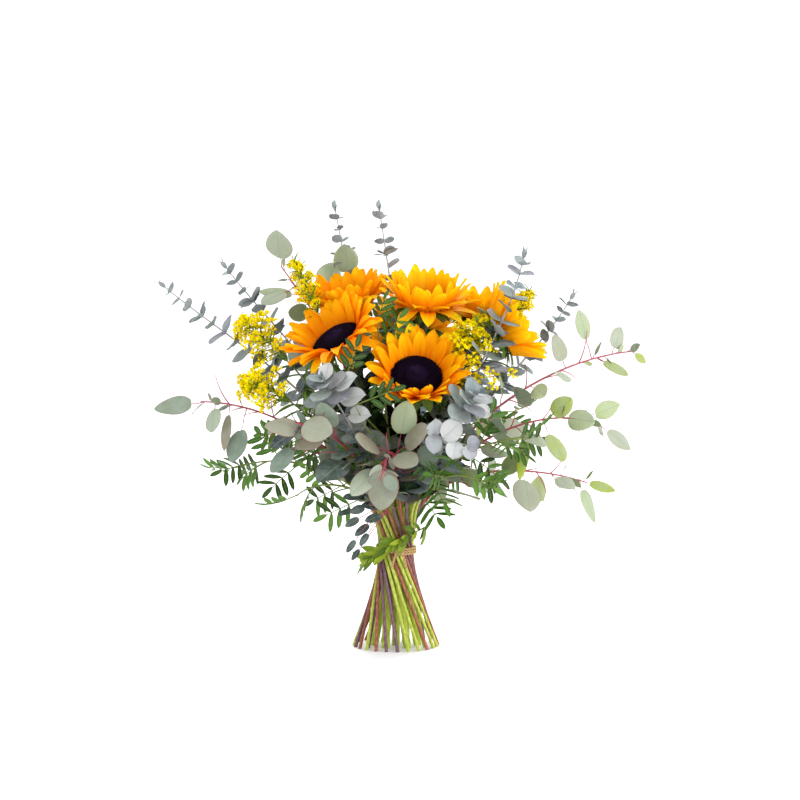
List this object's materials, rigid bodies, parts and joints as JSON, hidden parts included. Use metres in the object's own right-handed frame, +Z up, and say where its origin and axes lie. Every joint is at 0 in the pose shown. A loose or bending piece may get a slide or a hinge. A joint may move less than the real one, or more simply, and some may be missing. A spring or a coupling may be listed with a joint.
{
  "type": "bunch of sunflowers",
  "caption": "Hand-tied spiral bunch of sunflowers with eucalyptus, lentisk and goldenrod, tied at a narrow waist and standing on its level-cut stems.",
  "frame": {"origin": "middle of the cut end of the middle stem, on the surface that the bunch stands on", "axes": "+Z up along the middle of the bunch, +X to the right and -Y towards the viewer of its front, where the lowest sunflower faces"},
  "size_m": [0.6125, 0.3459, 0.5622],
  "materials": {
    "petal": "satin",
    "disc": "matte",
    "sunflower_stem": "satin",
    "baby_blue_leaf": "matte",
    "silver_dollar_leaf": "matte",
    "lentisk_leaf": "satin",
    "goldenrod_stem": "matte",
    "goldenrod_flower": "matte",
    "twine": "matte"
  },
  "bodies": {
    "root": {"blue_back": "baby_blue_leaf", "blue_crown": "baby_blue_leaf", "blue_front_left": "baby_blue_leaf", "blue_front_right": "baby_blue_leaf", "blue_high_left": "baby_blue_leaf", "blue_high_right": "baby_blue_leaf", "blue_left": "baby_blue_leaf", "blue_right": "baby_blue_leaf", "blue_top": "baby_blue_leaf", "dollar_back": "silver_dollar_leaf", "dollar_front_left": "silver_dollar_leaf", "dollar_front_right": "silver_dollar_leaf", "dollar_high_left": "silver_dollar_leaf", "dollar_left": "silver_dollar_leaf", "dollar_low": "silver_dollar_leaf", "dollar_low_right": "silver_dollar_leaf", "dollar_right": "silver_dollar_leaf", "goldenrod_back_plume": "goldenrod_flower", "goldenrod_back_stem": "goldenrod_stem", "goldenrod_front_left_plume": "goldenrod_flower", "goldenrod_front_left_stem": "goldenrod_stem", "goldenrod_high_plume": "goldenrod_flower", "goldenrod_high_right_plume": "goldenrod_flower", "goldenrod_high_right_stem": "goldenrod_stem", "goldenrod_high_stem": "goldenrod_stem", "goldenrod_left_plume": "goldenrod_flower", "goldenrod_left_stem": "goldenrod_stem", "goldenrod_right_plume": "goldenrod_flower", "goldenrod_right_stem": "goldenrod_stem", "lentisk_back_left": "lentisk_leaf", "lentisk_back_right": "lentisk_leaf", "lentisk_left": "lentisk_leaf", "lentisk_low_left": "lentisk_leaf", "lentisk_low_right": "lentisk_leaf", "lentisk_middle": "lentisk_leaf", "lentisk_right": "lentisk_leaf", "sunflower_back_disc": "disc", "sunflower_back_left_disc": "disc", "sunflower_back_left_petals": "petal", "sunflower_back_left_stem": "sunflower_stem", "sunflower_back_petals": "petal", "sunflower_back_right_disc": "disc", "sunflower_back_right_petals": "petal", "sunflower_back_right_stem": "sunflower_stem", "sunflower_back_stem": "sunflower_stem", "sunflower_front_disc": "disc", "sunflower_front_petals": "petal", "sunflower_front_stem": "sunflower_stem", "sunflower_left_disc": "disc", "sunflower_left_petals": "petal", "sunflower_left_stem": "sunflower_stem", "sunflower_right_disc": "disc", "sunflower_right_petals": "petal", "sunflower_right_stem": "sunflower_stem", "sunflower_top_disc": "disc", "sunflower_top_petals": "petal", "sunflower_top_stem": "sunflower_stem", "twine": "twine", "waist_vine": "lentisk_leaf"}
  },
  "joints": []
}
